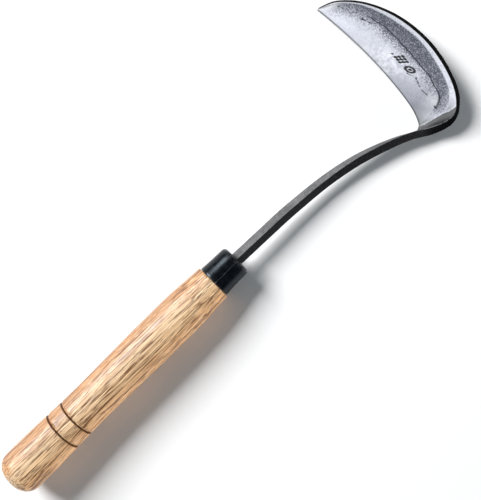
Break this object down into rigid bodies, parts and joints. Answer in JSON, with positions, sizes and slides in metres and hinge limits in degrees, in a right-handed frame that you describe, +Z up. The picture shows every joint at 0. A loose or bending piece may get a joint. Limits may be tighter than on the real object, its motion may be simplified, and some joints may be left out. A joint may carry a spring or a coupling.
{
  "type": "hand sickle",
  "caption": "Small hand sickle: turned wooden grip, black steel ferrule, square twisted neck and a short dished crescent blade with a hard steel edge.",
  "frame": {"origin": "centre of the resting tool's bounding box, on the surface it lies on", "axes": "+X from the butt of the handle towards the blade, +Y to the side the point of the blade is on, +Z up; it rests on the handle's belly, the point of the blade and the underside of the hook"},
  "size_m": [0.3788, 0.1164, 0.0338],
  "materials": {
    "oak": "turned, sanded and oiled, open pores",
    "black_enamel": "gloss black enamel",
    "forge_black": "black forge scale, satin, hammered",
    "bright_steel": "ground and polished, blue grey towards the weld line"
  },
  "bodies": {
    "root": {"handle": "oak", "ferrule": "black_enamel", "blade_forging": "forge_black", "edge_steel": "bright_steel"}
  },
  "joints": []
}
